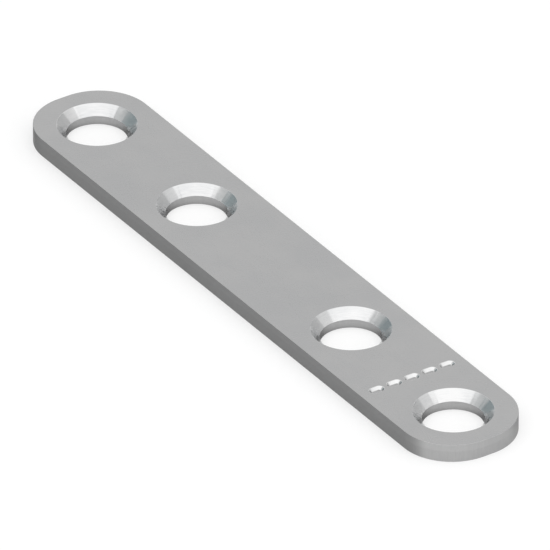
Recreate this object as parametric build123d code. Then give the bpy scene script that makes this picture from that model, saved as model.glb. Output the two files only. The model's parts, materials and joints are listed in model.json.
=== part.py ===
from build123d import *
import os

# Straight mending plate: a length of flat steel strip with rounded ends and a row of four
# countersunk screw holes on its centre line. Millimetres, +X along the plate, +Z up through it.
# The origin is at the middle of the underside, the face that lies on the work, and the
# countersinks open upwards.

# strip
PLATE_LENGTH = 98.5
PLATE_WIDTH = 16.0
STRIP_THICKNESS = 2.5

# blanked outline: what stays flat between the two rounded corners of each end
END_FLAT = 1.6

# row of screw holes: an outer and an inner one on each half of the plate
END_MARGIN = 8.0  # from the end of the plate to the centre of the outer hole
MIDDLE_GAP = 35.75  # between the centres of the two inner holes

# screw hole: a straight bore under a cone that takes the flat head of a 5 mm wood screw
BORE_DIAMETER = 8.0
COUNTERSINK_DIAMETER = 10.5
COUNTERSINK_ANGLE = 90.0

# sharp edges broken by tumbling, all round the blank and where each bore comes out below
RIM_BREAK = 0.1
BORE_BREAK = 0.1


def hole_centres():
    """Gives the centres of the four screw holes, from the left end to the right one."""
    outer = PLATE_LENGTH / 2 - END_MARGIN
    inner = MIDDLE_GAP / 2
    return [(-outer, 0), (-inner, 0), (inner, 0), (outer, 0)]


def blank():
    """Makes the blanked strip, its corners rounded in plan and its two rims broken."""
    corner_radius = (PLATE_WIDTH - END_FLAT) / 2
    with BuildPart() as strip:
        with BuildSketch():
            RectangleRounded(PLATE_LENGTH, PLATE_WIDTH, corner_radius)
        extrude(amount=STRIP_THICKNESS)
        rims = strip.edges().group_by(Axis.Z)
        fillet(rims[0] + rims[-1], RIM_BREAK)
    return strip.part


def screw_holes(plate):
    """Sinks the row of screw holes from the upper face and breaks their lower edges."""
    with BuildPart() as drilled:
        add(plate)
        with Locations(Plane.XY.offset(STRIP_THICKNESS)):
            with Locations(*hole_centres()):
                CounterSinkHole(
                    BORE_DIAMETER / 2,
                    COUNTERSINK_DIAMETER / 2,
                    counter_sink_angle=COUNTERSINK_ANGLE,
                )
        underside = drilled.faces().sort_by(Axis.Z)[0]
        exits = [edge for wire in underside.inner_wires() for edge in wire.edges()]
        chamfer(exits, BORE_BREAK)
    return drilled.part


def main():
    """Builds the mending plate and writes it out."""
    plate = screw_holes(blank())
    plate.label = "mending_plate"
    os.makedirs("parts", exist_ok=True)
    export_step(plate, "parts/mending_plate.step")


main()
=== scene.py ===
"""Looks of a straight mending plate: zinc plated strip with rounded ends and four countersunk holes.

Everything is in metres in the part's own frame: +X along the plate, +Z out of the countersinks, and
the underside at height 0. The plate's form is built by geometry nodes, in millimetres, from the
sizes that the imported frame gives.
"""

import json
import logging
import math
from dataclasses import dataclass, replace
from enum import Enum
from functools import cached_property, partial
from typing import Any, Optional, Sequence, Union

import bmesh
import bpy
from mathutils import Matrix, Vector

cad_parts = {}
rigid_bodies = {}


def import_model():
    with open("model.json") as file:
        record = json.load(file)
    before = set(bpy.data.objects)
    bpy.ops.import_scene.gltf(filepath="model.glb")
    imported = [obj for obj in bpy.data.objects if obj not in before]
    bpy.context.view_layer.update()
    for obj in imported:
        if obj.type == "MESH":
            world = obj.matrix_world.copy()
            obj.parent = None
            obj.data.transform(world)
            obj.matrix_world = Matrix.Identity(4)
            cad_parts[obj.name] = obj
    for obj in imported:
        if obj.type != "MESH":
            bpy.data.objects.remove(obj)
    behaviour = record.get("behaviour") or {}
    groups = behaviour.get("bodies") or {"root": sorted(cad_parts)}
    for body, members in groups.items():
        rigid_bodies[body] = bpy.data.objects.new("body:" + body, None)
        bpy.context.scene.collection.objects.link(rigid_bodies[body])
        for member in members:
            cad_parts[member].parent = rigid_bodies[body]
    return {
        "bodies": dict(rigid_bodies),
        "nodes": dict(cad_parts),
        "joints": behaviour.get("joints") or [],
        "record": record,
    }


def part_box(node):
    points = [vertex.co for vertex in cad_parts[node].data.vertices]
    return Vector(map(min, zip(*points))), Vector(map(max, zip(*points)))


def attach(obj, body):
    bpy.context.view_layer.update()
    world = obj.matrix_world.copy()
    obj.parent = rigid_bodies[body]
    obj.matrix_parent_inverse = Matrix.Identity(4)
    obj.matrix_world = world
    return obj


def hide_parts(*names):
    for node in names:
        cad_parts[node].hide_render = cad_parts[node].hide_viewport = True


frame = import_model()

NODE = "mending_plate"
BODY = "root"
MM = 0.001

log = logging.getLogger("plate")

Colour = tuple[float, float, float, float]


def grey(level: float) -> Colour:
    """Gives a grey, in linear light."""
    return (level, level, level, 1.0)


WHITE = grey(1.0)


def linked(name: str, data: bpy.types.ID) -> bpy.types.Object:
    """Makes an object and puts it in the scene.

    Args:
        name: the object's name.
        data: its mesh, lamp or camera.

    Returns:
        The object, at the origin.
    """
    made = bpy.data.objects.new(name, data)
    bpy.context.scene.collection.objects.link(made)
    return made


# --------------- nodes


class Wire:
    """A node's output. Sums that are written with it add maths nodes."""

    def __init__(self, work: "NodeWork", socket: bpy.types.NodeSocket) -> None:
        """Holds an output and the tree that it is in."""
        self.work = work
        self.socket = socket

    @property
    def is_vector(self) -> bool:
        """Says whether the output is a vector."""
        return self.socket.type == "VECTOR"

    def also(self, output: str) -> "Wire":
        """Gives another output of the same node."""
        return Wire(self.work, self.socket.node.outputs[output])

    def __add__(self, other: "Value") -> "Wire":
        """Adds."""
        return self.work.maths("ADD", self, other)

    def __radd__(self, other: "Value") -> "Wire":
        """Adds to a value on the left."""
        return self.work.maths("ADD", other, self)

    def __sub__(self, other: "Value") -> "Wire":
        """Subtracts."""
        return self.work.maths("SUBTRACT", self, other)

    def __rsub__(self, other: "Value") -> "Wire":
        """Subtracts from a value on the left."""
        return self.work.maths("SUBTRACT", other, self)

    def __mul__(self, other: "Value") -> "Wire":
        """Multiplies."""
        return self.work.maths("MULTIPLY", self, other)

    def __rmul__(self, other: "Value") -> "Wire":
        """Multiplies a value on the left."""
        return self.work.maths("MULTIPLY", other, self)

    def __neg__(self) -> "Wire":
        """Changes the sign."""
        return self.work.maths("MULTIPLY", self, -1.0)

    def __abs__(self) -> "Wire":
        """Drops the sign."""
        return self.work.maths("ABSOLUTE", self)

    def __gt__(self, other: "Value") -> "Wire":
        """Gives 1 where this is the greater, and 0 elsewhere."""
        return self.work.maths("GREATER_THAN", self, other)


Value = Union[Wire, list[Wire], int, float, bool, Sequence[float], str, bpy.types.ID]
Point = tuple[Value, Value]
Key = Union[int, str]
Values = Optional[dict[Key, Value]]
Settings = Optional[dict[str, Any]]


class NodeWork:
    """Adds nodes to a tree and joins them."""

    def __init__(self, tree: bpy.types.NodeTree) -> None:
        """Holds a tree of shader or of geometry nodes."""
        self.tree = tree

    @staticmethod
    def socket(sockets: bpy.types.bpy_prop_collection, key: Key) -> bpy.types.NodeSocket:
        """Finds a socket.

        Args:
            sockets: a node's inputs or outputs.
            key: the socket's number, or the name of one that is in use.

        Returns:
            The socket.
        """
        if isinstance(key, int):
            return sockets[key]
        return next(s for s in sockets if s.name == key and s.enabled)

    def join(self, value: Value, socket: bpy.types.NodeSocket) -> None:
        """Gives an input its value or its links.

        Args:
            value: a wire, a list of wires that all go in, or a plain value.
            socket: the input.
        """
        if isinstance(value, Wire):
            self.tree.links.new(value.socket, socket)
        elif isinstance(value, list):
            for wire in reversed(value):  # such a socket puts its newest link first
                self.join(wire, socket)
        else:
            socket.default_value = value

    def node(self, kind: str, settings: Settings = None, values: Values = None) -> bpy.types.Node:
        """Adds a node.

        Args:
            kind: the node's type.
            settings: the node's own properties, set before its sockets. "items" is how many
                values a switch chooses from.
            values: its sockets' values or wires, by name or number.

        Returns:
            The node.
        """
        node = self.tree.nodes.new(kind)
        for name, setting in (settings or {}).items():
            if name == "items":
                while len(node.index_switch_items) < setting:
                    node.index_switch_items.new()
            else:
                setattr(node, name, setting)
        for key, value in (values or {}).items():
            self.join(value, self.socket(node.inputs, key))
        return node

    def add(self, kind: str, settings: Settings = None, values: Values = None, output: Key = 0) -> Wire:
        """Adds a node and gives the output that is wanted."""
        return Wire(self, self.socket(self.node(kind, settings, values).outputs, output))

    def end(self, kind: str, result: Wire) -> None:
        """Ends the tree with a node that takes its result."""
        self.node(kind, values={0: result})

    def maths(self, operation: str, first: Value, second: Optional[Value] = None) -> Wire:
        """Adds a maths node, for vectors if either value is one.

        Args:
            operation: the node's own name for what it does.
            first: the first value.
            second: the second value, where the operation takes two.

        Returns:
            The result.
        """
        given = [first] if second is None else [first, second]
        vector = any(isinstance(v, (tuple, Vector)) or (isinstance(v, Wire) and v.is_vector) for v in given)
        if vector:
            given = [(v, v, v) if isinstance(v, (int, float)) else v for v in given]
        kind = "ShaderNodeVectorMath" if vector else "ShaderNodeMath"
        return self.add(kind, {"operation": operation}, dict(enumerate(given)))

    def vector(self, x: Value = 0.0, y: Value = 0.0, z: Value = 0.0) -> Wire:
        """Puts three numbers together as a vector."""
        return self.add("ShaderNodeCombineXYZ", values={0: x, 1: y, 2: z})

    def parts(self, vector: Wire) -> tuple[Wire, Wire, Wire]:
        """Takes a vector apart into its three numbers."""
        x = self.add("ShaderNodeSeparateXYZ", values={0: vector})
        return x, x.also("Y"), x.also("Z")


# --------------- geometry nodes


class GeometryWork(NodeWork):
    """A geometry tree in millimetres, with named inputs, that is run once and leaves a plain mesh."""

    SAME_HEIGHT = 0.001
    FLAT = 0.9999
    INPUT_KINDS = {
        float: "NodeSocketFloat",
        int: "NodeSocketInt",
        bpy.types.Material: "NodeSocketMaterial",
    }

    def __init__(self, name: str, edge_steps: int) -> None:
        """Starts an empty tree.

        Args:
            name: the tree's name.
            edge_steps: how many steps each rounded edge of a wall has.
        """
        super().__init__(bpy.data.node_groups.new(name, "GeometryNodeTree"))
        self.given = self.node("NodeGroupInput")
        self.settings: dict[str, Value] = {}
        self.tree.interface.new_socket(name="Mesh", in_out="OUTPUT", socket_type="NodeSocketGeometry")
        self.edge_steps = self.size("Edge Steps", edge_steps)

    def size(self, name: str, value: Value) -> Wire:
        """Adds a named input.

        Args:
            name: the input's name.
            value: what it is set to on the finished object. Its type sets the socket's.

        Returns:
            The input, for use in the tree.
        """
        kind = self.INPUT_KINDS[type(value)]
        self.tree.interface.new_socket(name=name, in_out="INPUT", socket_type=kind)
        self.settings[name] = value
        return Wire(self, self.given.outputs[name])

    def sizes(self, title: str, part: Any, *fields: str) -> list[Wire]:
        """Adds a named input for each of the given fields of a part."""
        names = [f"{title} {field.replace('_', ' ').title()}" for field in fields]
        return [self.size(name, getattr(part, field)) for name, field in zip(names, fields)]

    def _row(self, places: Sequence[Value]) -> Wire:
        """Makes a row of joined points at given places.

        Args:
            places: the places, as vectors.

        Returns:
            The row, as a mesh.
        """
        line = self.add("GeometryNodeMeshLine", values={"Count": len(places)})
        values = {"Geometry": line, "Position": self._choose("VECTOR", places)}
        return self.add("GeometryNodeSetPosition", values=values)

    def _choose(self, data_type: str, values: Sequence[Value]) -> Wire:
        """Gives each point its own value, by the point's number.

        Args:
            data_type: what the values are, in the node's own words.
            values: one for each point.

        Returns:
            The value at each point.
        """
        index = self.add("GeometryNodeInputIndex")
        chosen = {"Index": index, **{str(i): value for i, value in enumerate(values)}}
        return self.add("GeometryNodeIndexSwitch", {"data_type": data_type, "items": len(values)}, chosen)

    def fillet(self, curve: Wire, radius: Value, steps: Value) -> Wire:
        """Rounds a curve's corners, all alike or each by its own radius."""
        values = {"Curve": curve, "Count": steps, "Radius": radius}
        return self.add("GeometryNodeFilletCurve", {"mode": "POLY"}, values)

    def rounded_rectangle(self, length: Value, width: Value, radius: Value, steps: Value) -> Wire:
        """Draws a rectangle with round corners about the origin, with its length along X."""
        sizes = {"Width": length, "Height": width}
        return self.fillet(self.add("GeometryNodeCurvePrimitiveQuadrilateral", values=sizes), radius, steps)

    def circle(self, radius: Value, steps: Value) -> Wire:
        """Draws a circle about the origin."""
        return self.add("GeometryNodeCurvePrimitiveCircle", values={"Resolution": steps, "Radius": radius})

    def wall(self, path: Wire, section: Sequence[Point], radii: Sequence[Value]) -> Wire:
        """Runs a section round a closed path in the XY plane.

        Args:
            path: the path.
            section: the wall's points in section. Each is how far it stands out from the path and
                its height. Solid lies to the right of the line, going from point to point.
            radii: the radius at each of the section's points, 0 for a sharp one.

        Returns:
            The wall, as an open mesh.
        """
        upright = self.add("GeometryNodeSetCurveNormal", {"mode": "Z_UP"}, {"Curve": path})
        points = self._row([self.vector(out, -height) for out, height in section])
        line = self.add("GeometryNodeMeshToCurve", values={"Mesh": points})
        profile = self.fillet(line, self._choose("FLOAT", radii), self.edge_steps)
        return self.add("GeometryNodeCurveToMesh", values={"Curve": upright, "Profile Curve": profile})

    def skin(self, walls: Wire, height: Value, faces_down: bool = False) -> Wire:
        """Closes the open edges that walls have at one height with a flat skin.

        Args:
            walls: the walls.
            height: the height of the edges.
            faces_down: whether the skin looks down.

        Returns:
            The skin.
        """
        level = {"A": self._height(), "B": height, "Epsilon": self.SAME_HEIGHT}
        near = self.add("FunctionNodeCompare", {"operation": "EQUAL"}, level)
        one_face = {"A": self.add("GeometryNodeInputMeshEdgeNeighbors"), "B": 1}
        border = self.add("FunctionNodeCompare", {"data_type": "INT", "operation": "EQUAL"}, one_face)
        chosen = self.add("FunctionNodeBooleanMath", {"operation": "AND"}, {0: near, 1: border})
        edges = self.add("GeometryNodeMeshToCurve", values={"Mesh": walls, "Selection": chosen})
        flat = self.add("GeometryNodeFillCurve", {"mode": "TRIANGLES"}, {"Curve": edges})
        lift = self.vector(0.0, 0.0, height)
        skin = self.add("GeometryNodeTransform", values={"Geometry": flat, "Translation": lift})
        return self.add("GeometryNodeFlipFaces", values={"Mesh": skin}) if faces_down else skin

    def together(self, *pieces: Wire) -> Wire:
        """Joins pieces of geometry, in their order."""
        return self.add("GeometryNodeJoinGeometry", values={0: list(pieces)})

    def repeat(self, piece: Wire, places: Sequence[Value], turn: float = 0.0) -> Wire:
        """Sets copies of a piece at given places.

        Args:
            piece: the piece.
            places: where each copy goes, as vectors.
            turn: how far the copies are turned about Z, in radians.

        Returns:
            The copies, as plain geometry.
        """
        values = {"Points": self._row(places), "Instance": piece, "Rotation": (0.0, 0.0, turn)}
        copies = self.add("GeometryNodeInstanceOnPoints", values=values)
        return self.add("GeometryNodeRealizeInstances", values={"Geometry": copies})

    def _height(self) -> Wire:
        """Gives the height of each point, edge or face."""
        return self.parts(self.add("GeometryNodeInputPosition"))[2]

    def above(self, height: Value) -> Wire:
        """Picks what lies above a height."""
        return self._height() > height

    def level(self) -> Wire:
        """Picks the faces that look straight up or straight down."""
        return abs(self.parts(self.add("GeometryNodeInputNormal"))[2]) > self.FLAT

    def finished_in(self, piece: Wire, material: Wire, where: Value = True) -> Wire:
        """Gives a piece its material, or only those of its faces that are picked."""
        values = {"Geometry": piece, "Selection": where, "Material": material}
        return self.add("GeometryNodeSetMaterial", values=values)

    def whole(self, pieces: Wire, weld: float) -> Wire:
        """Welds pieces that meet, shades them smooth and takes them from millimetres to metres.

        Args:
            pieces: the pieces.
            weld: the distance in millimetres under which points are one.

        Returns:
            The whole shape.
        """
        welded = self.add("GeometryNodeMergeByDistance", values={"Geometry": pieces, "Distance": weld})
        smooth = self.add("GeometryNodeSetShadeSmooth", values={"Geometry": welded})
        return self.add("GeometryNodeTransform", values={"Geometry": smooth, "Scale": (MM, MM, MM)})

    def mesh(self, name: str, shape: Wire) -> bpy.types.Object:
        """Ends the tree, runs it and keeps what it makes as a plain mesh.

        Args:
            name: the new object's name.
            shape: the finished shape, in metres.

        Returns:
            The object, with no modifier left.
        """
        self.end("NodeGroupOutput", shape)
        piece = linked(name, bpy.data.meshes.new(name + "_seed"))
        maker = piece.modifiers.new("form", "NODES")
        maker.node_group = self.tree
        for item in self.tree.interface.items_tree:
            if item.in_out == "INPUT":
                maker[item.identifier] = self.settings[item.name]
        piece.modifiers.new("even_shading", "WEIGHTED_NORMAL").keep_sharp = True
        graph = bpy.context.evaluated_depsgraph_get()
        made = bpy.data.meshes.new_from_object(piece.evaluated_get(graph), depsgraph=graph)
        piece.modifiers.clear()
        piece.data = made
        made.name = name
        return piece


# --------------- shader nodes


class ShaderWork(NodeWork):
    """A material's tree."""

    def __init__(self, name: str) -> None:
        """Starts a material with an empty tree.

        Args:
            name: the material's name.
        """
        self.material = bpy.data.materials.new(name)
        self.material.use_nodes = True
        super().__init__(self.material.node_tree)
        self.tree.nodes.clear()

    def noise(self, place: Wire, grain: float, detail: float) -> Wire:
        """Makes a soft random pattern about one half, from its features' size in millimetres."""
        values = {"Vector": place, "Scale": 1.0 / grain, "Detail": detail}
        return self.add("ShaderNodeTexNoise", {"noise_dimensions": "3D"}, values, "Fac")

    def ease(self, value: Wire, low: float, high: float) -> Wire:
        """Steps smoothly from 0 at low to 1 at high, which may be the lesser of the two."""
        values = {"Value": value, "From Min": low, "From Max": high}
        return self.add("ShaderNodeMapRange", {"interpolation_type": "SMOOTHSTEP"}, values)

    def blend(self, share: Value, first: Value, second: Value) -> Wire:
        """Mixes two colours, by the second one's share."""
        values = {"Factor": share, "A": first, "B": second}
        return self.add("ShaderNodeMix", {"data_type": "RGBA"}, values, "Result")

    def relief(self, height: Wire, depth: float, below: Optional[Wire] = None) -> Wire:
        """Turns heights into a bent normal.

        Args:
            height: the surface's height, as a share of depth.
            depth: how deep the relief is, in millimetres.
            below: a relief that this one lies on.

        Returns:
            The normal.
        """
        values = {"Strength": 1.0, "Distance": depth * MM, "Height": height}
        if below is not None:
            values["Normal"] = below
        return self.add("ShaderNodeBump", values=values)

    def metal(self, constants: dict[str, Value], varying: dict[str, Wire]) -> bpy.types.Material:
        """Ends the tree with its one surface.

        Args:
            constants: the shader's sockets that are the same all over.
            varying: those that a pattern feeds.

        Returns:
            The finished material.
        """
        surface = self.add("ShaderNodeBsdfPrincipled", values={**constants, **varying})
        self.end("ShaderNodeOutputMaterial", surface)
        return self.material


class FinishWork(ShaderWork):
    """A finish's tree, which knows where on the plate each point lies, in millimetres."""

    def __init__(self, name: str, plate: "MendingPlate") -> None:
        """Starts a finish.

        Args:
            name: the material's name.
            plate: the plate that gets it.
        """
        super().__init__(name)
        self.plate = plate
        self.place = self.add("ShaderNodeTexCoord", output="Object") * (1.0 / MM)
        self.x, self.y, self.z = self.parts(self.place)

    @cached_property
    def arm(self) -> Wire:
        """The flat vector from the nearest screw hole's axis, with each half of the plate alike.

        Returns:
            The vector.
        """
        reaches = [abs(x) for x in self.plate.hole_xs]
        inner, outer = min(reaches), max(reaches)
        along = abs(self.x)
        outer_is_nearer = along > (inner + outer) / 2
        across = along - (inner + (outer - inner) * outer_is_nearer)
        return self.vector(across, self.y)

    @cached_property
    def radius(self) -> Wire:
        """The distance from the nearest screw hole's axis."""
        return self.maths("LENGTH", self.arm).also("Value")

    @cached_property
    def way(self) -> Wire:
        """The direction from the nearest screw hole's axis."""
        return self.maths("NORMALIZE", self.arm)

    def inside_outline(self) -> Wire:
        """Measures how far a point lies inside the plate's outline.

        Returns:
            The distance.
        """
        past_x = abs(self.x) - self.plate.straight
        past_y = abs(self.y) - self.plate.flat
        out_x = self.maths("MAXIMUM", past_x, 0.0)
        out_y = self.maths("MAXIMUM", past_y, 0.0)
        round_part = self.maths("SQRT", out_x * out_x + out_y * out_y)
        flat_part = self.maths("MINIMUM", self.maths("MAXIMUM", past_x, past_y), 0.0)
        return self.plate.corner - (round_part + flat_part)


# --------------- finishes


@dataclass(frozen=True)
class Zinc:
    """Bright zinc plate on steel. Each way of making the steel beneath has a class of its own.

    Attributes:
        name: the material's name.
        colour: the zinc's colour, in linear light.
        dull_colour: its colour where it has clouded.
        roughness: its mean roughness.
        cloudiness: how far the roughness changes from patch to patch.
        grain: the width of a mark of making, in millimetres.
        stretch: how many times longer than wide a mark is.
        mark_roughness: how far the roughness changes from mark to mark.
        mark_depth: how deep the marks are, in millimetres.
        trait_roughness: how much rougher the surface's own trait makes it.
        trait_depth: how deep that trait is, in millimetres.
        polish: how much smoother wear makes it.
        edge_tint: how much of its usual glare it keeps where it is seen along its face.
    """

    name: str
    colour: Colour
    dull_colour: Colour
    roughness: float
    cloudiness: float
    grain: float
    stretch: float
    mark_roughness: float
    mark_depth: float
    trait_roughness: float
    trait_depth: float
    polish: float
    edge_tint: float

    CLOUD = 6.0
    CLOUD_SHARE = 0.7
    DULL_FROM, DULL_TO = 0.35, 0.65
    SPECK = 0.3
    SPECK_DEPTH = 0.002
    LAYERS = 3.0

    def lay(self, on: FinishWork) -> Wire:
        """Gives the place at which the marks' pattern is read, drawn together along the marks."""
        raise NotImplementedError

    def trait(self, on: FinishWork) -> Wire:
        """Makes what is peculiar to the surface and coarser than its marks, 0 to 1 high."""
        raise NotImplementedError

    def worn(self, on: FinishWork) -> Wire:
        """Finds where rubbing has polished the surface, as a share from 0 to 1."""
        raise NotImplementedError

    def tint(self, on: FinishWork, clouded: Wire) -> Wire:
        """Gives the surface its colour, from how far the zinc has clouded, 0 to 1."""
        return on.blend(clouded, self.colour, self.dull_colour)

    def material(self, plate: "MendingPlate") -> bpy.types.Material:
        """Builds the finish.

        Args:
            plate: the plate that gets it.

        Returns:
            The material.
        """
        on = FinishWork(self.name, plate)
        cloud = on.noise(on.place, self.CLOUD, self.LAYERS)
        mark = on.noise(self.lay(on), self.grain, self.LAYERS)
        trait = self.trait(on)
        dull = cloud * self.CLOUD_SHARE + mark * (1.0 - self.CLOUD_SHARE)
        uneven = self.cloudiness * (cloud - 0.5) + self.mark_roughness * (mark - 0.5)
        rough = self.roughness + uneven + self.trait_roughness * trait - self.polish * self.worn(on)
        speckled = on.relief(on.noise(on.place, self.SPECK, detail=1.0), self.SPECK_DEPTH)
        marked = on.relief(mark, self.mark_depth, speckled)
        return on.metal(
            {"Metallic": 1.0, "Specular Tint": grey(self.edge_tint)},
            {
                "Base Color": self.tint(on, on.ease(dull, self.DULL_FROM, self.DULL_TO)),
                "Roughness": rough,
                "Normal": on.relief(trait, self.trait_depth, marked),
            },
        )


class RolledZinc(Zinc):
    """The strip's faces: faint lines from the rolls, a few fine scratches, and polished rims."""

    SCRATCH_TURNS = (0.35, -0.9, 1.9)
    SCRATCH_WIDTH = 0.16
    SCRATCH_STRETCH = 70.0
    SCRATCH_FROM, SCRATCH_TO = 0.78, 0.7
    RIM_WIDTH = 0.5

    def lay(self, on: FinishWork) -> Wire:
        """Draws space together along the strip."""
        return on.place * (1.0 / self.stretch, 1.0, 1.0)

    def trait(self, on: FinishWork) -> Wire:
        """Leaves a few long fine scratches in a face that is otherwise whole.

        Args:
            on: the finish's tree.

        Returns:
            1 on the whole face, and less in a scratch.
        """
        whole: Value = 1.0
        for turn in self.SCRATCH_TURNS:
            values = {"Vector": on.place, "Angle": turn}
            turned = on.add("ShaderNodeVectorRotate", {"rotation_type": "Z_AXIS"}, values)
            drawn = turned * (1.0 / self.SCRATCH_STRETCH, 1.0, 1.0)
            line = on.noise(drawn, self.SCRATCH_WIDTH, detail=0.0)
            whole = whole * on.ease(line, self.SCRATCH_FROM, self.SCRATCH_TO)
        return whole

    def worn(self, on: FinishWork) -> Wire:
        """Polishes the plate's rim and the countersinks' mouths.

        Args:
            on: the finish's tree.

        Returns:
            A share from 0 to 1.
        """
        outside = on.ease(on.inside_outline(), self.RIM_WIDTH, 0.0)
        mouths = on.ease(on.radius, on.plate.hole.mouth + self.RIM_WIDTH, on.plate.hole.mouth)
        return on.maths("MAXIMUM", outside, mouths)


@dataclass(frozen=True)
class ShearedZinc(Zinc):
    """The cut edges: a burnished land above, drawn lines, and a grainier break below.

    Attributes:
        mill_colour: a darker colour painted on the strip's two long edges, as painted shade.
    """

    # Painted shade: the darker colour that the long edges are given.
    mill_colour: Colour

    # How far in from each long side the painted shade reaches, in millimetres.
    MILL_REACH = 1.0
    LAND = 0.4
    LAND_WAVE = 1.5
    LAND_WAVER = 0.6
    LAND_FADE = 0.1
    BREAK_GRAIN = 0.22
    BREAK_LAYERS = 2.0

    def tint(self, on: FinishWork, clouded: Wire) -> Wire:
        """Paints shade on the long edges: darker near each long side, up to where the ends were cropped
        round.
        """
        # Painted shade: the long edges get a darker colour that stands in for the shade they are in.
        painted_shade = on.ease(abs(on.y), on.plate.width / 2 - self.MILL_REACH, on.plate.width / 2)
        return on.blend(painted_shade, super().tint(on, clouded), self.mill_colour)

    def lay(self, on: FinishWork) -> Wire:
        """Draws space together down the cut."""
        return on.place * (1.0, 1.0, 1.0 / self.stretch)

    def below_land(self, on: FinishWork) -> Wire:
        """Tells the break from the land above it, with a wavering edge between them.

        Args:
            on: the finish's tree.

        Returns:
            1 in the break and 0 on the land.
        """
        wave = on.noise(on.place * (1.0, 1.0, 0.0), self.LAND_WAVE, self.BREAK_LAYERS)
        edge = on.plate.thickness * (1.0 - self.LAND)
        height = on.z + (wave - 0.5) * self.LAND_WAVER
        return on.ease(height, edge + self.LAND_FADE, edge - self.LAND_FADE)

    def trait(self, on: FinishWork) -> Wire:
        """Makes the torn grain of the break."""
        return on.noise(on.place, self.BREAK_GRAIN, self.BREAK_LAYERS) * self.below_land(on)

    def worn(self, on: FinishWork) -> Wire:
        """Polishes the land, where the die rubbed it."""
        return 1.0 - self.below_land(on)


class TurnedZinc(Zinc):
    """The countersinks: fine rings from the cutter, with its chatter round them."""

    CHATTER = 21.0
    WAVER = 0.48
    WAVER_REACH = 3.0
    HOLE_SHIFT = 0.05
    RIM_WIDTH = 0.25

    def lay(self, on: FinishWork) -> Wire:
        """Draws space together round the hole."""
        return on.way * (on.plate.hole.mouth / self.stretch) + on.vector(z=on.radius)

    def trait(self, on: FinishWork) -> Wire:
        """Waves the cone with the cutter's chatter, uneven from wave to wave and hole to hole.

        Args:
            on: the finish's tree.

        Returns:
            A height from 0 to 1.
        """
        across, y, _ = on.parts(on.arm)
        about = on.way * self.WAVER_REACH + on.vector(z=on.x * self.HOLE_SHIFT)
        waver = on.noise(about, grain=1.0, detail=1.0) - 0.5
        turn = on.maths("ARCTAN2", y, across) + waver * self.WAVER
        return 0.5 + 0.5 * on.maths("SINE", turn * self.CHATTER)

    def worn(self, on: FinishWork) -> Wire:
        """Polishes the cone beside its mouth."""
        return on.ease(on.radius, on.plate.hole.mouth - self.RIM_WIDTH, on.plate.hole.mouth)


class Surface(Enum):
    """The plate's kinds of surface, by how each was made."""

    FACE = "rolled"
    EDGE = "sheared"
    BORE = "pierced"
    CONE = "turned"
    STROKE = "struck"


ROLLED = RolledZinc(
    name="rolled_zinc",
    colour=grey(0.45),
    dull_colour=(0.43, 0.432, 0.435, 1.0),
    roughness=0.28,
    cloudiness=0.08,
    grain=0.14,
    stretch=40.0,
    mark_roughness=0.06,
    mark_depth=0.0006,
    trait_roughness=-0.04,
    trait_depth=0.0015,
    polish=0.06,
    edge_tint=0.7,
)
STRUCK = RolledZinc(
    name="struck_zinc",
    # Painted highlight: the strokes get a lighter zinc than the faces, which brightens the light their
    # walls catch.
    colour=grey(0.66),
    dull_colour=(0.6, 0.602, 0.605, 1.0),
    roughness=0.24,
    cloudiness=0.06,
    grain=0.1,
    stretch=6.0,
    mark_roughness=0.08,
    mark_depth=0.001,
    trait_roughness=-0.02,
    trait_depth=0.001,
    polish=0.04,
    edge_tint=0.7,
)
SHEARED = ShearedZinc(
    name="sheared_zinc",
    colour=grey(0.49),
    dull_colour=(0.45, 0.45, 0.452, 1.0),
    roughness=0.62,
    cloudiness=0.06,
    grain=0.14,
    stretch=12.0,
    mark_roughness=0.08,
    mark_depth=0.004,
    trait_roughness=0.06,
    trait_depth=0.008,
    polish=0.06,
    edge_tint=0.05,
    # The long edges' darker colour is painted shade.
    mill_colour=(0.31, 0.31, 0.311, 1.0),
)
PIERCED = replace(
    SHEARED,
    name="pierced_zinc",
    colour=grey(0.46),
    dull_colour=(0.42, 0.42, 0.422, 1.0),
    roughness=0.42,
    edge_tint=0.0,
)
TURNED = TurnedZinc(
    name="turned_zinc",
    # Painted highlight: the countersinks get a lighter zinc than the faces, which brightens their
    # reflection.
    colour=grey(0.66),
    dull_colour=(0.57, 0.575, 0.58, 1.0),
    roughness=0.23,
    cloudiness=0.05,
    grain=0.12,
    stretch=14.0,
    mark_roughness=0.1,
    mark_depth=0.003,
    trait_roughness=0.02,
    trait_depth=0.012,
    polish=0.05,
    edge_tint=1.0,
)
FINISHES: dict[Surface, Zinc] = {
    Surface.FACE: ROLLED,
    Surface.EDGE: SHEARED,
    Surface.BORE: PIERCED,
    Surface.CONE: TURNED,
    Surface.STROKE: STRUCK,
}


# --------------- the surface map

RowKey = tuple[Surface, float]
Spot = tuple[RowKey, float, float]  # a row, and a place along and up it, from 0 to 1


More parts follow.
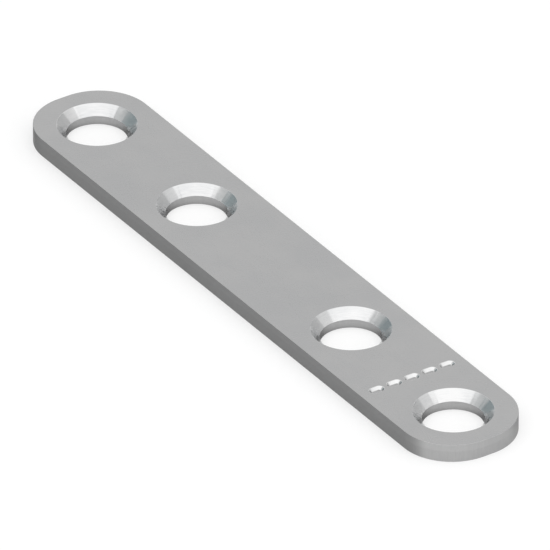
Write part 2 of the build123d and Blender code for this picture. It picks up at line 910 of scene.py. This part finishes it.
@dataclass(frozen=True)
class SurfaceMap:
    """The plate's surfaces laid out flat, for a model that carries its finishes as images.

    Each surface has a row of its own, so that no finish runs into the one beside it, but the strokes
    keep their places in the upper face's. A row goes by its kind of surface and a number: the hole's
    place along the plate, or 1 and -1 for the two faces and the two halves of the outer wall.

    Attributes:
        plate: the plate.
        gap: what is left free round each row, as a share of the map.
        hidden: how much of its own height the lower face gets, because it is seldom seen.
        spare: how much taller than a wall its row is at each edge, in millimetres.
    """

    plate: "MendingPlate"
    gap: float = 0.006
    hidden: float = 0.5
    spare: float = 0.12

    NAME = "OFBake"
    SIDES = (1, -1)
    BARELY = 0.001

    @property
    def flare(self) -> float:
        """How far a countersink is wider than its bore, which is also how deep it is."""
        return self.plate.hole.mouth - self.plate.hole.bore

    @property
    def rows(self) -> dict[RowKey, tuple[float, float]]:
        """The rows, from the bottom of the map up, with heights as on the plate.

        Returns:
            Each row's lower edge and its height, where the map's height is 1.
        """
        plate = self.plate
        edge = plate.thickness + 2 * self.spare
        heights = {(Surface.FACE, 1): plate.width, (Surface.FACE, -1): plate.width * self.hidden}
        heights |= {(Surface.EDGE, side): edge for side in self.SIDES}
        heights |= {(Surface.CONE, x): self.flare * math.sqrt(2.0) for x in plate.hole_xs}
        heights |= {(Surface.BORE, x): edge - self.flare for x in plate.hole_xs}
        scale = (1.0 - self.gap * (len(heights) + 1)) / sum(heights.values())
        rows, low = {}, self.gap
        for key, height in heights.items():
            rows[key] = low, height * scale
            low += height * scale + self.gap
        return rows

    def draw(self, mesh: bpy.types.Mesh) -> None:
        """Adds the map to the plate's mesh.

        Args:
            mesh: the mesh, in metres.
        """
        rows, length = self.rows, 1.0 - 2.0 * self.gap
        surfaces = {zinc.name: surface for surface, zinc in FINISHES.items()}
        unroll = {
            Surface.EDGE: self._on_edge,
            Surface.CONE: partial(self._in_hole, Surface.CONE),
            Surface.BORE: partial(self._in_hole, Surface.BORE),
        }
        layer = mesh.uv_layers.new(name=self.NAME)
        for face in mesh.polygons:
            find = unroll.get(surfaces[mesh.materials[face.material_index].name], self._on_face)
            for corner in face.loop_indices:
                point = mesh.vertices[mesh.loops[corner].vertex_index].co / MM
                row, across, up = find(face, point)
                low, height = rows[row]
                layer.uv[corner].vector = self.gap + length * across, low + height * up

    def _on_face(self, face: bpy.types.MeshPolygon, point: Vector) -> Spot:
        """Places a point of the upper or the lower face, or of a stroke in it."""
        side = 1 if face.normal.z > 0 else -1
        return (Surface.FACE, side), 0.5 + point.x / self.plate.length, 0.5 + point.y / self.plate.width

    def _in_hole(self, surface: Surface, face: bpy.types.MeshPolygon, point: Vector) -> Spot:
        """Unrolls a countersink or a bore.

        Args:
            surface: which of the two.
            face: the mesh's face that has the point.
            point: the point, in millimetres.

        Returns:
            The row, and how far along and up it the point is.
        """
        middle = face.center / MM
        axis = min(self.plate.hole_xs, key=lambda x: abs(x - middle.x))
        turn = math.atan2(middle.y, middle.x - axis)
        past = math.remainder(math.atan2(point.y, point.x - axis) - turn, math.tau)
        out = math.hypot(point.x - axis, point.y) - self.plate.hole.bore
        throat = self.plate.thickness - self.flare
        if surface is Surface.CONE:
            up = (out + point.z - throat) / (2 * self.flare)
        else:
            up = (point.z - out + self.spare) / (throat + 2 * self.spare)
        return (surface, axis), 0.5 + (turn + past) / math.tau, up

    def _on_edge(self, face: bpy.types.MeshPolygon, point: Vector) -> Spot:
        """Unrolls half of the outer wall, outwards from the middle of a long side.

        Args:
            face: the mesh's face that has the point.
            point: the point, in millimetres.

        Returns:
            The row, and how far along and up it the point is.
        """
        plate = self.plate
        side = 1 if face.center.y / MM > -self.BARELY else -1
        past_x, past_y = abs(point.x) - plate.straight, point.y * side - plate.flat
        out_x, out_y = max(past_x, 0.0), max(past_y, 0.0)
        bend = plate.corner * math.atan2(out_x, out_y)
        run = plate.straight + min(past_x, 0.0) + bend - min(past_y, 0.0)
        reach = plate.straight + plate.corner * math.pi / 2 + 2 * plate.flat
        rise = point.z - plate.thickness / 2
        inset = plate.corner - math.hypot(out_x, out_y)
        up = (rise + math.copysign(inset, rise)) / (plate.thickness + 2 * self.spare)
        return (Surface.EDGE, side), 0.5 + 0.5 * math.copysign(run, point.x) / reach, 0.5 + up


# --------------- the plate


@dataclass(frozen=True)
class ScrewHole:
    """A countersunk screw hole, in millimetres.

    Attributes:
        bore: the radius of its straight bore.
        mouth: the radius of its countersink on the upper face.
        cone_angle: the whole angle of the countersink, in radians.
        bevel: the bevel where the bore comes out below.
        mouth_edge: the radius of the countersink's edge.
        throat_edge: the radius where the cone meets the bore.
        guard: how far its wall runs on into the flat skin beside it.
        round_steps: how many steps it has round.
    """

    bore: float
    mouth: float = 5.25
    cone_angle: float = math.radians(90.0)
    bevel: float = 0.1
    mouth_edge: float = 0.04
    throat_edge: float = 0.1
    guard: float = 0.2
    round_steps: int = 160

    def wall(self, form: GeometryWork, thickness: Wire) -> tuple[Wire, Wire]:
        """Makes the hole's wall, from the lower face to the upper one.

        Args:
            form: the tree.
            thickness: the strip's thickness.

        Returns:
            The wall, and the height at which its cone starts.
        """
        bore, mouth, bevel, guard = form.sizes("Hole", self, "bore", "mouth", "bevel", "guard")
        throat_edge, mouth_edge = form.sizes("Hole", self, "throat_edge", "mouth_edge")
        steps = form.size("Hole Round Steps", self.round_steps)
        slope = form.size("Hole Cone Slope", 1.0 / math.tan(self.cone_angle / 2))
        flare = mouth - bore
        throat = thickness - flare * slope
        section = [
            (bevel + guard, 0.0),
            (bevel, 0.0),
            (0.0, bevel),
            (0.0, throat),
            (flare, thickness),
            (flare + guard, thickness),
        ]
        radii = [0.0, 0.0, 0.0, throat_edge, mouth_edge, 0.0]
        return form.wall(form.circle(bore, steps), section, radii), throat


@dataclass(frozen=True)
class StampedStrokes:
    """A row of plain strokes, stamped across the plate between two of its holes, in millimetres.

    Attributes:
        x: the middle of the row, along the plate.
        count: how many strokes there are.
        pitch: from one stroke to the next, across the plate.
        length: a stroke's length across the plate.
        width: its width.
        depth: how deep it is.
        lean: how far each stroke is turned from the plate's length, in radians.
        draft: how far its wall slopes in on the way down.
        edge: the radius of its rim and of its foot.
        corner: the radius of its corners, seen from above.
        corner_steps: how many steps each of these has.
    """

    x: float = 31.8
    count: int = 5
    pitch: float = 2.7
    length: float = 2.1
    width: float = 1.3
    depth: float = 0.34
    lean: float = math.radians(90.0)
    draft: float = 0.38
    edge: float = 0.13
    corner: float = 0.62
    corner_steps: int = 8

    def pockets(self, form: GeometryWork, thickness: Wire) -> Wire:
        """Makes the strokes' pockets: sloping walls and a flat floor each.

        Args:
            form: the tree.
            thickness: the strip's thickness.

        Returns:
            The pockets, open at their mouths.
        """
        length, width, depth = form.sizes("Stroke", self, "length", "width", "depth")
        draft, edge, corner = form.sizes("Stroke", self, "draft", "edge", "corner")
        steps = form.size("Stroke Corner Steps", self.corner_steps)
        outline = form.rounded_rectangle(length, width, corner, steps)
        section = [(-draft - edge, -depth), (-draft, -depth), (0.0, 0.0), (edge, 0.0)]
        wall = form.wall(outline, section, [0.0, edge, edge, 0.0])
        pocket = form.together(wall, form.skin(wall, -depth))
        first = -(self.count - 1) / 2
        places = [form.vector(self.x, (first + i) * self.pitch, thickness) for i in range(self.count)]
        return form.repeat(pocket, places, self.lean)


@dataclass(frozen=True)
class MendingPlate:
    """The plate, with its sizes in millimetres.

    Attributes:
        length: overall length.
        width: overall width.
        thickness: the strip's thickness.
        hole_xs: where the holes' axes are along the plate.
        hole: the screw hole that stands at each of them.
        strokes: the stamped strokes.
        end_flat: what is left flat between the two round corners of an end.
        rim: the radius of the outer edges, above and below.
        guard: how far the outer wall runs on into the flat skins.
        corner_steps: how many steps each round corner of the outline has.
        edge_steps: how many steps a small edge radius has.
        weld: points nearer than this are one.
    """

    length: float
    width: float
    thickness: float
    hole_xs: tuple[float, ...]
    hole: ScrewHole
    strokes: StampedStrokes = StampedStrokes()
    end_flat: float = 1.6
    rim: float = 0.04
    guard: float = 0.2
    corner_steps: int = 40
    edge_steps: int = 4
    weld: float = 0.002

    @classmethod
    def from_frame(cls, packed: dict[str, Any]) -> "MendingPlate":
        """Reads the plate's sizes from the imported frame.


        Returns:
            The plate.
        """
        low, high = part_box(NODE)
        length, width, thickness = (high - low) / MM
        bores = [mount for mount in packed["record"]["mounts"] if mount["kind"] == "bore"]
        xs = sorted(bore["pos_m"][0] / MM for bore in bores)
        return cls(length, width, thickness, tuple(xs), ScrewHole(bores[0]["dims"]["r_mm"]))

    @property
    def corner(self) -> float:
        """The radius of the outline's corners."""
        return (self.width - self.end_flat) / 2

    @property
    def straight(self) -> float:
        """How far a long side runs straight from its middle."""
        return self.length / 2 - self.corner

    @property
    def flat(self) -> float:
        """How far an end runs straight from its middle."""
        return self.width / 2 - self.corner

    def build(self) -> bpy.types.Object:
        """Builds the whole plate as one closed mesh, and dresses it.

        Returns:
            The plate.
        """
        form = GeometryWork("plate_form", self.edge_steps)
        zinc = {
            surface: form.size(f"{surface.value.title()} Finish", finish.material(self))
            for surface, finish in FINISHES.items()
        }
        thickness = form.size("Plate Thickness", self.thickness)
        outer = form.finished_in(self._outer_wall(form, thickness), zinc[Surface.EDGE])
        wall, throat = self.hole.wall(form, thickness)
        pierced = form.finished_in(wall, zinc[Surface.BORE])
        turned = form.finished_in(pierced, zinc[Surface.CONE], form.above(throat))
        holes = form.repeat(turned, [(x, 0.0, 0.0) for x in self.hole_xs])
        pockets = form.finished_in(self.strokes.pockets(form, thickness), zinc[Surface.STROKE])
        walls = form.together(outer, holes, pockets)
        skins = form.together(form.skin(walls, thickness), form.skin(walls, 0.0, faces_down=True))
        shape = form.whole(form.together(walls, skins), self.weld)
        piece = form.mesh("plate", form.finished_in(shape, zinc[Surface.FACE], form.level()))
        SurfaceMap(self).draw(piece.data)
        return piece

    def _outer_wall(self, form: GeometryWork, thickness: Wire) -> Wire:
        """Makes the sheared wall round the outline, with both rims.

        Args:
            form: the tree.
            thickness: the strip's thickness.

        Returns:
            The wall.
        """
        length, width, rim, guard = form.sizes("Plate", self, "length", "width", "rim", "guard")
        corner, steps = form.sizes("Plate", self, "corner", "corner_steps")
        outline = form.rounded_rectangle(length, width, corner, steps)
        section = [(-guard, thickness), (0.0, thickness), (0.0, 0.0), (-guard, 0.0)]
        return form.wall(outline, section, [0.0, rim, rim, 0.0])


# --------------- the studio


def toward(azimuth: float, elevation: float) -> Vector:
    """Gives the direction to something that is seen from the plate.

    Args:
        azimuth: degrees about Z, from the -Y side towards the +X side.
        elevation: degrees above the floor.

    Returns:
        The direction, of length one.
    """
    turn, rise = math.radians(azimuth), math.radians(elevation)
    flat = math.cos(rise)
    return Vector((math.sin(turn) * flat, -math.cos(turn) * flat, math.sin(rise)))


def sheet(name: str, width: float, height: float, level: float = 0.0) -> bpy.types.Mesh:
    """Makes a flat rectangle about the origin.

    Args:
        name: the mesh's name.
        width: its size along X, in metres.
        height: its size along Y, in metres.
        level: how far it is above the origin, in metres.

    Returns:
        The rectangle.
    """
    x, y = width / 2, height / 2
    mesh = bpy.data.meshes.new(name)
    mesh.from_pydata([(-x, -y, level), (x, -y, level), (x, y, level), (-x, y, level)], [], [(0, 1, 2, 3)])
    return mesh


def where_seen(work: NodeWork) -> Wire:
    """Picks the rays that show something: from the camera, by reflection or through glass.

    Args:
        work: a shader's tree.

    Returns:
        1 on those rays, and 0 on the rest.
    """
    camera = work.add("ShaderNodeLightPath", output="Is Camera Ray")
    mirrored = work.maths("MAXIMUM", camera.also("Is Glossy Ray"), camera.also("Is Transmission Ray"))
    return work.maths("MAXIMUM", camera, mirrored)


@dataclass(frozen=True)
class Stand:
    """Something flat that stands off from the plate and faces it, unseen by the camera.

    Attributes:
        name: its name.
        azimuth: where it stands, in degrees.
        elevation: how high its middle is, in degrees.
        distance: how far away it is, in metres.
        width: its size from side to side.
        height: its size up and down.
    """

    name: str
    azimuth: float
    elevation: float
    distance: float
    width: float
    height: float

    def put_up(self, data: bpy.types.ID) -> bpy.types.Object:
        """Puts it in its place.

        Args:
            data: its lamp or its mesh.

        Returns:
            The object.
        """
        back = toward(self.azimuth, self.elevation)
        stood = linked(self.name, data)
        stood.location = back * self.distance
        stood.rotation_euler = back.to_track_quat("Z", "Y").to_euler()
        stood.visible_camera = False
        return stood


@dataclass(frozen=True)
class Softbox(Stand):
    """A large soft lamp.

    Attributes:
        radiance: how much light its face adds to the surroundings behind it, where 1 renders as white.
    """

    radiance: float

    def place(self) -> None:
        """Adds the lamp to the scene."""
        lamp = bpy.data.lights.new(self.name, "AREA")
        lamp.shape = "RECTANGLE"
        lamp.size = self.width
        lamp.size_y = self.height
        lamp.energy = self.radiance * math.pi * self.width * self.height
        self.put_up(lamp)


@dataclass(frozen=True)
class Card(Stand):
    """A dull card, which the zinc reflects in place of the bright surroundings.

    Attributes:
        colour: its colour, in linear light.
    """

    colour: Colour

    def place(self) -> None:
        """Adds the card to the scene."""
        mesh = sheet(self.name, self.width, self.height)
        shader = ShaderWork(self.name)
        paint = shader.add("ShaderNodeBsdfDiffuse", values={"Color": self.colour})
        shader.end("ShaderNodeOutputMaterial", paint)
        mesh.materials.append(shader.material)
        self.put_up(mesh)


@dataclass(frozen=True)
class Floor:
    """The plain pale floor.

    Attributes:
        size: its length and its width, in metres.
        shade: its grey, in linear light.
        gap: how far it lies below the plate, in metres.
        veil: the share of white that it gives of itself where it is seen.
    """

    size: float = 10.0
    shade: float = 0.93
    gap: float = 0.00002
    veil: float = 0.55

    def place(self) -> None:
        """Lays the floor."""
        mesh = sheet("floor", self.size, self.size, -self.gap)
        shader = ShaderWork("floor_paint")
        paint = shader.add("ShaderNodeBsdfDiffuse", values={"Color": grey(self.shade)})
        glow = shader.add("ShaderNodeEmission", values={"Color": WHITE, "Strength": 1.0})
        veiled = {0: where_seen(shader) * self.veil, 1: paint, 2: glow}
        shader.end("ShaderNodeOutputMaterial", shader.add("ShaderNodeMixShader", values=veiled))
        mesh.materials.append(shader.material)
        linked("floor", mesh)


@dataclass(frozen=True)
class Viewpoint:
    """Where the camera stands, and how it looks at the plate.

    Attributes:
        azimuth: where it stands, in degrees.
        elevation: how high it stands, in degrees.
        distance: how far it is from the plate, in metres.
        aim_right: how far to the right of the plate's middle it looks, in metres.
        aim_down: how far below the plate's middle it looks, in metres.
        lens: its focal length, in millimetres.
        sensor: the width of its sensor, in millimetres.
        reach: how many times nearer and farther than the plate it still sees.
    """

    azimuth: float = 56.4
    elevation: float = 32.23
    distance: float = 3.3285
    aim_right: float = 0.00017
    aim_down: float = 0.00116
    lens: float = 1700.0
    sensor: float = 36.0
    reach: float = 10.0

    def place(self, middle: Vector) -> None:
        """Stands the camera.

        Args:
            middle: the middle of the plate's upper face, in metres.
        """
        back = toward(self.azimuth, self.elevation)
        turn = back.to_track_quat("Z", "Y")
        right = turn @ Vector((1.0, 0.0, 0.0))
        up = turn @ Vector((0.0, 1.0, 0.0))
        data = bpy.data.cameras.new("camera")
        data.sensor_width = self.sensor
        data.lens = self.lens
        data.clip_start = self.distance / self.reach
        data.clip_end = self.distance * self.reach
        camera = linked("camera", data)
        camera.location = middle + right * self.aim_right - up * self.aim_down + back * self.distance
        camera.rotation_euler = turn.to_euler()
        bpy.context.scene.camera = camera


@dataclass(frozen=True)
class Studio:
    """Everything that isn't the plate.

    Attributes:
        sky: how bright the surroundings are, where 1 renders as white.
        floor: the floor.
        lamps: the soft lamps.
        cards: the dull cards.
        viewpoint: the camera's place.
    """

    sky: float = 1.0
    floor: Floor = Floor()
    lamps: tuple[Softbox, ...] = (
        Softbox("overhead", 58.0, 66.0, 1.2, 2.3, 1.35, radiance=0.48),
        Softbox("key", 104.0, 20.0, 1.2, 1.0, 0.6, radiance=0.5),
    )
    cards: tuple[Card, ...] = (
        Card("dark_card", 283.0, 19.0, 0.6, 0.6, 0.28, colour=(0.335, 0.39, 0.405, 1.0)),
        Card("pale_card", 318.0, 34.0, 0.65, 0.5, 0.3, colour=(0.72, 0.73, 0.73, 1.0)),
        Card("grey_card", 190.0, 19.0, 0.6, 0.46, 0.3, colour=grey(0.62)),
    )
    viewpoint: Viewpoint = Viewpoint()

    def dress(self, middle: Vector) -> None:
        """Sets the studio up.

        Args:
            middle: the middle of the plate's upper face, in metres.
        """
        self.floor.place()
        self._surroundings()
        for stand in self.lamps + self.cards:
            stand.place()
            log.info("studio: %s", stand.name)
        self.viewpoint.place(middle)
        bpy.context.scene.view_settings.view_transform = "Standard"

    def _surroundings(self) -> None:
        """Sets plain pale surroundings, which the camera sees as white."""
        world = bpy.data.worlds.new("studio")
        world.use_nodes = True
        work = NodeWork(world.node_tree)
        work.tree.nodes.clear()
        camera = work.add("ShaderNodeLightPath", output="Is Camera Ray")
        strength = self.sky + (1.0 - self.sky) * camera
        glow = work.add("ShaderNodeBackground", values={"Color": WHITE, "Strength": strength})
        work.end("ShaderNodeOutputWorld", glow)
        bpy.context.scene.world = world


# --------------- making


def report(piece: bpy.types.Object) -> None:
    """Says how big a piece's mesh is, and whether it is closed and faces outwards.

    Args:
        piece: the piece.
    """
    shape = bmesh.new()
    shape.from_mesh(piece.data)
    loose = sum(1 for edge in shape.edges if not (edge.is_manifold and edge.is_contiguous))
    volume = shape.calc_volume(signed=True) / MM**3
    log.info("%s: %d faces, %d open or doubled edges", piece.name, len(shape.faces), loose)
    log.info("%s: volume %.1f cubic millimetres", piece.name, volume)
    shape.free()


def main() -> None:
    """Builds the plate and its studio, and notes the plate's faces, open edges and volume."""
    logging.basicConfig(level=logging.INFO, format="%(name)s: %(message)s")
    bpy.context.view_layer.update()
    plate = MendingPlate.from_frame(frame)
    piece = plate.build()
    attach(piece, BODY)
    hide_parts(NODE)
    report(piece)
    Studio().dress(Vector((0.0, 0.0, plate.thickness * MM)))


if __name__ == "__main__":
    main()
